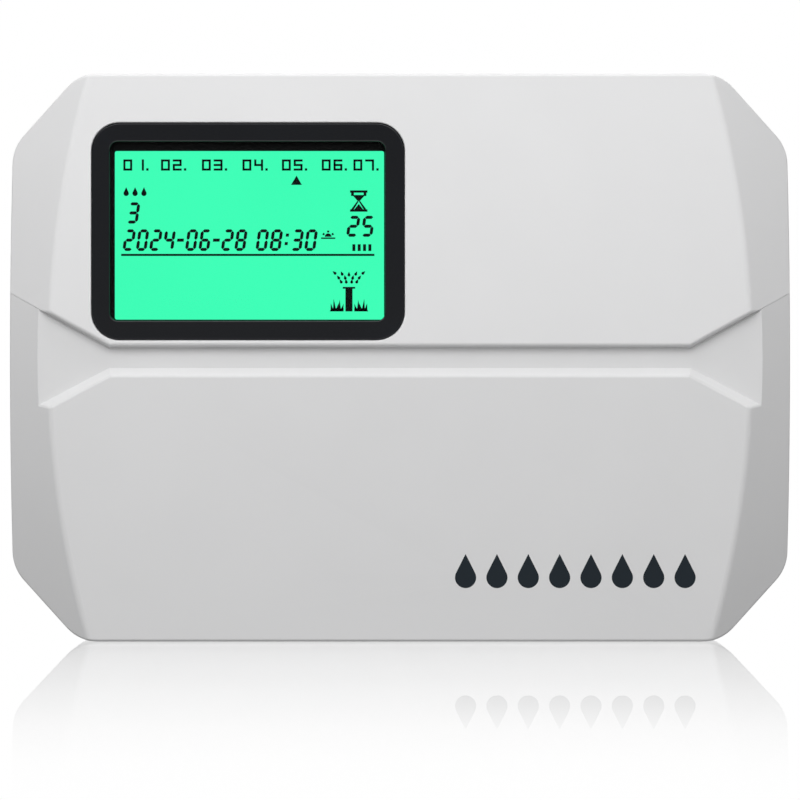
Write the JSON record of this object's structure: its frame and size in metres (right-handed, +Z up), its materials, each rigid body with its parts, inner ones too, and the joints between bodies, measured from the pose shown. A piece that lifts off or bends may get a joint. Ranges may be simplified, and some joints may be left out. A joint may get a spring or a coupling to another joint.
{
  "type": "irrigation controller",
  "caption": "Wall-mounted sprinkler controller: white chamfered case, back-lit display in a black frame, flared middle band and a fold-down door over keys and wire terminals.",
  "frame": {"origin": "centre of the case outline on the back face, the plane that rests on the wall", "axes": "+X right as seen from the front, +Y into the wall (the front faces -Y), +Z up"},
  "size_m": [0.22, 0.05, 0.1594],
  "materials": {
    "white_shell": "fine satin moulded surface",
    "door_white": "fine satin moulded surface, a little greyer than the cover",
    "housing_plastic": "satin moulded surface",
    "panel_plastic": "satin moulded surface",
    "bezel_black": "glossy black",
    "window_clear": "clear, polished",
    "lcd_lit": "back-lit green display with dark segments",
    "lcd_black": "matt black",
    "backlight_white": "milky diffuser",
    "contact_rubber": "matt layered rubber",
    "board_green": "solder mask with copper tracks",
    "screw_steel": "zinc plated",
    "pin_steel": "ground",
    "emblem_dark": "printed dark grey",
    "label_white": "matt film with printed rules",
    "grommet_rubber": "matt",
    "ribbon_grey": "ribbed cable",
    "connector_white": "nylon",
    "key_grey": "satin with light symbols",
    "plunger_black": "moulded",
    "switch_black": "moulded",
    "tinned_steel": "stamped, tinned",
    "terminal_green": "moulded nylon",
    "terminal_metal": "plated",
    "chip_black": "moulded epoxy",
    "fuse_glass": "clear tube",
    "capacitor_sleeve": "shrunk sleeve",
    "varistor_blue": "lacquered disc",
    "ferrite_grey": "sintered"
  },
  "bodies": {
    "case": {"upper_cover": "white_shell", "rear_housing": "housing_plastic", "control_panel": "panel_plastic", "display_bezel": "bezel_black", "display_window": "window_clear", "lcd_panel": "lcd_lit", "lcd_frame": "lcd_black", "lcd_backlight": "backlight_white", "lcd_contact_strip": "contact_rubber", "display_board": "board_green", "main_board": "board_green", "radio_module": "board_green", "display_board_screws": "screw_steel", "control_panel_screws": "screw_steel", "main_board_screws": "screw_steel", "cover_screws": "screw_steel", "rating_label": "label_white", "lead_grommet": "grommet_rubber", "display_ribbon": "ribbon_grey", "ribbon_connectors": "connector_white", "switch_bodies": "switch_black", "switch_covers": "tinned_steel", "radio_shield": "tinned_steel", "crystal": "tinned_steel", "fuse_caps": "tinned_steel", "fuse_clips": "tinned_steel", "backup_cell": "tinned_steel", "power_terminal": "terminal_green", "sensor_terminal": "terminal_green", "valve_terminal": "terminal_green", "terminal_screws": "terminal_metal", "terminal_clamps": "terminal_metal", "zone_triacs": "chip_black", "bridge_rectifier": "chip_black", "controller_chips": "chip_black", "buzzer": "chip_black", "cell_holder": "chip_black", "fuse_tube": "fuse_glass", "filter_capacitors": "capacitor_sleeve", "varistor": "varistor_blue", "inductor": "ferrite_grey"},
    "door": {"lower_door": "door_white", "front_emblem": "emblem_dark", "zone_chart": "label_white", "hinge_pins": "pin_steel"},
    "wifi_key": {"key_wifi": "key_grey", "plunger_wifi": "plunger_black"},
    "mode_key": {"key_mode": "key_grey", "plunger_mode": "plunger_black"},
    "down_key": {"key_down": "key_grey", "plunger_down": "plunger_black"},
    "up_key": {"key_up": "key_grey", "plunger_up": "plunger_black"},
    "ok_key": {"key_ok": "key_grey", "plunger_ok": "plunger_black"},
    "back_key": {"key_back": "key_grey", "plunger_back": "plunger_black"}
  },
  "joints": [
    {"name": "door_hinge", "type": "hinge", "parent": "case", "child": "door", "pos_m": [0, -0.025, -0.0767], "axis": [1, 0, 0], "range_deg": [0, 100]},
    {"name": "wifi_press", "type": "slide", "parent": "case", "child": "wifi_key", "axis": [0, 1, 0], "range_m": [0, 0.0005], "stiffness_N_per_m": 4000},
    {"name": "mode_press", "type": "slide", "parent": "case", "child": "mode_key", "axis": [0, 1, 0], "range_m": [0, 0.0005], "stiffness_N_per_m": 4000},
    {"name": "down_press", "type": "slide", "parent": "case", "child": "down_key", "axis": [0, 1, 0], "range_m": [0, 0.0005], "stiffness_N_per_m": 4000},
    {"name": "up_press", "type": "slide", "parent": "case", "child": "up_key", "axis": [0, 1, 0], "range_m": [0, 0.0005], "stiffness_N_per_m": 4000},
    {"name": "ok_press", "type": "slide", "parent": "case", "child": "ok_key", "axis": [0, 1, 0], "range_m": [0, 0.0005], "stiffness_N_per_m": 4000},
    {"name": "back_press", "type": "slide", "parent": "case", "child": "back_key", "axis": [0, 1, 0], "range_m": [0, 0.0005], "stiffness_N_per_m": 4000}
  ]
}
